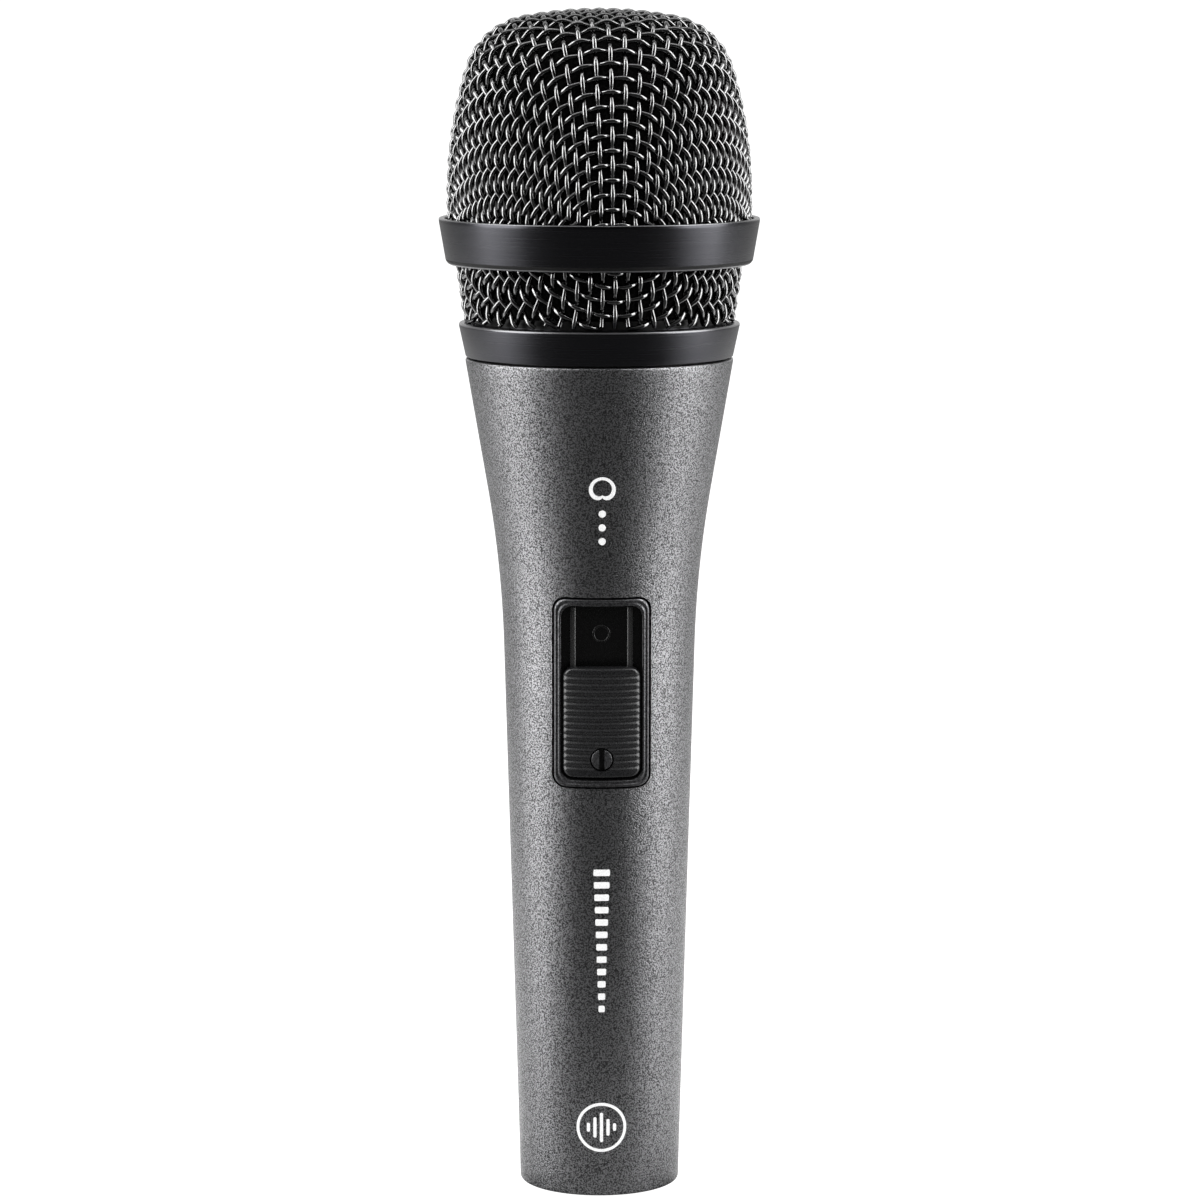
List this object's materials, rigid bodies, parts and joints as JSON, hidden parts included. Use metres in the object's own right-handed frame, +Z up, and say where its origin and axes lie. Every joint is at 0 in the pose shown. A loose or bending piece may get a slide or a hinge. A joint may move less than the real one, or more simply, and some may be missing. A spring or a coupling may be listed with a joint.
{
  "type": "dynamic microphone",
  "caption": "Handheld dynamic microphone with a woven mesh head that unscrews, a tapered metal handle, a sliding on-off switch and a three-pin connector socket in its base.",
  "frame": {"origin": "centre of the flat rim at the connector end, on the surface that it stands on", "axes": "+Z up the axis from the connector to the top of the grille, -Y out of the switch's face, +X to the right as the switch is seen"},
  "size_m": [0.0486, 0.0486, 0.18],
  "materials": {
    "speckled_grey_paint": "fine-textured metallic grey paint",
    "black_mesh": "black powder-coated woven wire",
    "satin_black_metal": "satin black",
    "grey_rim_metal": "satin dark grey",
    "dark_foam": "open-cell foam",
    "rubber": "matte",
    "black_plastic": "matte moulded",
    "magnet_metal": "bright",
    "steel": "turned",
    "green_board": "solder mask",
    "switch_glass": "clear",
    "red_wire": "insulation",
    "white_wire": "insulation",
    "plated_brass": "plated",
    "clear_film": "thin film",
    "enamelled_copper": "enamelled winding",
    "grey_felt": "pressed felt"
  },
  "bodies": {
    "handle": {"handle_body": "speckled_grey_paint", "switch_bezel": "grey_rim_metal", "switch_guide": "black_plastic", "switch_board": "green_board", "board_screw_lower": "steel", "board_screw_upper": "steel", "reed_switch": "switch_glass", "lead_hot": "red_wire", "lead_cold": "white_wire", "board_lead": "rubber", "transformer": "steel", "connector_lead": "rubber", "xlr_insert": "black_plastic", "xlr_pin_1": "plated_brass", "xlr_pin_2": "plated_brass", "xlr_pin_3": "plated_brass", "ground_contact": "plated_brass", "insert_set_screw": "steel", "capsule_housing": "satin_black_metal", "capsule_cap": "satin_black_metal", "diaphragm": "clear_film", "voice_coil": "enamelled_copper", "pole_plate": "steel", "magnet": "magnet_metal", "magnet_yoke": "steel", "damping_felt": "grey_felt", "capsule_carrier": "black_plastic", "shock_mount": "rubber", "rear_chamber": "black_plastic"},
    "slider": {"switch_slider": "black_plastic", "slider_magnet": "magnet_metal"},
    "lock": {"slider_lock_screw": "satin_black_metal"},
    "seal": {"grille_seal": "rubber"},
    "head": {"grille_dome": "black_mesh", "grille_band": "black_mesh", "grille_ring": "satin_black_metal", "grille_collar": "satin_black_metal", "foam_liner": "dark_foam"}
  },
  "joints": [
    {"name": "switch_slide", "type": "slide", "parent": "handle", "child": "slider", "axis": [0, -0.0283, 0.9996], "range_m": [0, 0.009]},
    {"name": "lock_turn", "type": "hinge", "parent": "slider", "child": "lock", "pos_m": [0, -0.01412, 0.06795], "axis": [0, -0.9996, -0.0283], "range_deg": [0, 90]},
    {"name": "head_lift", "type": "slide", "parent": "handle", "child": "seal", "axis": [0, 0, 1], "range_m": [0, 0.004]},
    {"name": "head_turn", "type": "hinge", "parent": "seal", "child": "head", "pos_m": [0, 0, 0.1277], "axis": [0, 0, 1], "range_deg": [0, 1440]}
  ],
  "couplings": [
    {"joint": "head_lift", "follows": "head_turn", "m_per_rad": 0.000159}
  ]
}
